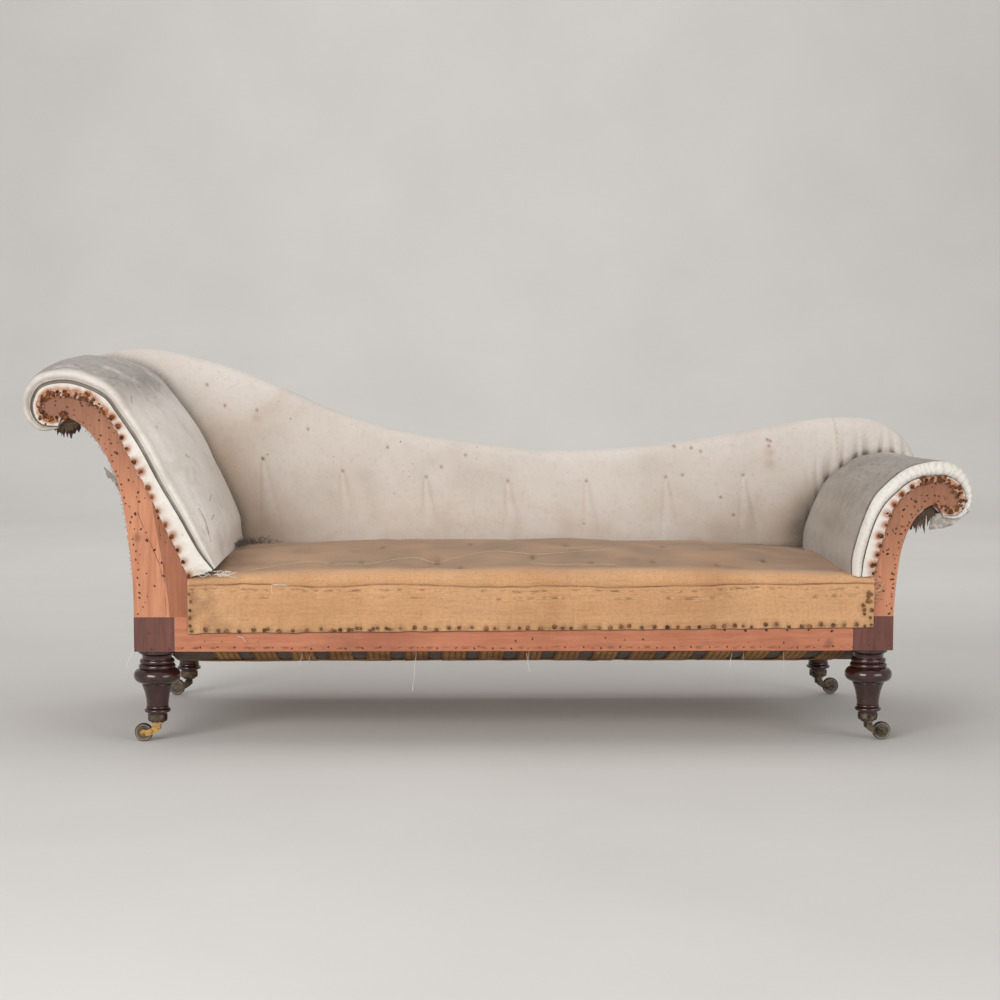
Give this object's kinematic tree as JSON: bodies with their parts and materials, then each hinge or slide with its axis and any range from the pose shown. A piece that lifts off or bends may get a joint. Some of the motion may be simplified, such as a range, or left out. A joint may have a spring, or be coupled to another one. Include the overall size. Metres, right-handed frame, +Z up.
{
  "type": "chaise longue",
  "caption": "Scroll-ended chaise longue with a serpentine back, stripped to calico and hessian, on turned legs with swivel castors.",
  "frame": {"origin": "on the floor, under the middle of the whole piece", "axes": "+X towards the foot end, +Y towards the back, +Z up"},
  "size_m": [1.957, 0.6573, 0.8079],
  "materials": {
    "rail_wood": "bare birch, old tack holes",
    "scroll_board_wood": "bare birch, old tack holes",
    "wedge_wood": "bare wood, darker",
    "turned_mahogany": "dark polished mahogany",
    "webbing": "jute webbing, dark stripes",
    "spring_wire": "oxidised spring wire",
    "hessian": "coarse jute hessian",
    "horsehair": "curled horsehair",
    "calico": "aged unbleached calico",
    "rusty_tacks": "rusty iron",
    "castor_brass": "aged brass",
    "axle_iron": "riveted iron"
  },
  "bodies": {
    "frame": {"back_canvas": "hessian", "back_cover": "calico", "back_stuffing": "horsehair", "back_tacking_rail": "rail_wood", "back_top_rail": "rail_wood", "back_uprights": "rail_wood", "back_webbing": "webbing", "castor_cups": "castor_brass", "castor_screws": "castor_brass", "corner_braces": "rail_wood", "end_webbing": "webbing", "foot_border": "calico", "foot_canvas": "hessian", "foot_cover": "calico", "foot_facing_front": "scroll_board_wood", "foot_facing_rear": "scroll_board_wood", "foot_rail": "rail_wood", "foot_scroll_rail": "rail_wood", "foot_stuffing": "horsehair", "foot_stuffing_rail": "rail_wood", "foot_tacks": "rusty_tacks", "front_rail": "rail_wood", "head_border": "calico", "head_canvas": "hessian", "head_cover": "calico", "head_facing_front": "scroll_board_wood", "head_facing_rear": "scroll_board_wood", "head_rail": "rail_wood", "head_scroll_rail": "rail_wood", "head_stuffing": "horsehair", "head_stuffing_rail": "rail_wood", "head_tacks": "rusty_tacks", "head_wedges": "wedge_wood", "leg_front_foot": "turned_mahogany", "leg_front_head": "turned_mahogany", "leg_rear_foot": "turned_mahogany", "leg_rear_head": "turned_mahogany", "rear_rail": "rail_wood", "seat_border": "hessian", "seat_canvas": "hessian", "seat_cover": "hessian", "seat_springs": "spring_wire", "seat_stuffing": "horsehair", "seat_tacks": "rusty_tacks", "seat_webbing_cross": "webbing", "seat_webbing_long": "webbing", "webbing_tacks": "rusty_tacks"},
    "castor_front_head": {"castor_horn_front_head": "castor_brass", "castor_axle_front_head": "axle_iron"},
    "wheel_front_head": {"castor_wheel_front_head": "castor_brass"},
    "castor_front_foot": {"castor_horn_front_foot": "castor_brass", "castor_axle_front_foot": "axle_iron"},
    "wheel_front_foot": {"castor_wheel_front_foot": "castor_brass"},
    "castor_rear_head": {"castor_horn_rear_head": "castor_brass", "castor_axle_rear_head": "axle_iron"},
    "wheel_rear_head": {"castor_wheel_rear_head": "castor_brass"},
    "castor_rear_foot": {"castor_horn_rear_foot": "castor_brass", "castor_axle_rear_foot": "axle_iron"},
    "wheel_rear_foot": {"castor_wheel_rear_foot": "castor_brass"}
  },
  "joints": [
    {"name": "front_head_swivel", "type": "hinge", "parent": "frame", "child": "castor_front_head", "pos_m": [-0.7115, -0.28, 0.042], "axis": [0, 0, 1], "continuous": true},
    {"name": "front_head_roll", "type": "hinge", "parent": "castor_front_head", "child": "wheel_front_head", "pos_m": [-0.7405, -0.28, 0.019], "axis": [0, 1, 0], "continuous": true},
    {"name": "front_foot_swivel", "type": "hinge", "parent": "frame", "child": "castor_front_foot", "pos_m": [0.763, -0.28, 0.042], "axis": [0, 0, 1], "continuous": true},
    {"name": "front_foot_roll", "type": "hinge", "parent": "castor_front_foot", "child": "wheel_front_foot", "pos_m": [0.792, -0.28, 0.019], "axis": [0, 1, 0], "continuous": true},
    {"name": "rear_head_swivel", "type": "hinge", "parent": "frame", "child": "castor_rear_head", "pos_m": [-0.7115, 0.28, 0.042], "axis": [0, 0, 1], "continuous": true},
    {"name": "rear_head_roll", "type": "hinge", "parent": "castor_rear_head", "child": "wheel_rear_head", "pos_m": [-0.7405, 0.28, 0.019], "axis": [0, 1, 0], "continuous": true},
    {"name": "rear_foot_swivel", "type": "hinge", "parent": "frame", "child": "castor_rear_foot", "pos_m": [0.763, 0.28, 0.042], "axis": [0, 0, 1], "continuous": true},
    {"name": "rear_foot_roll", "type": "hinge", "parent": "castor_rear_foot", "child": "wheel_rear_foot", "pos_m": [0.792, 0.28, 0.019], "axis": [0, 1, 0], "continuous": true}
  ]
}
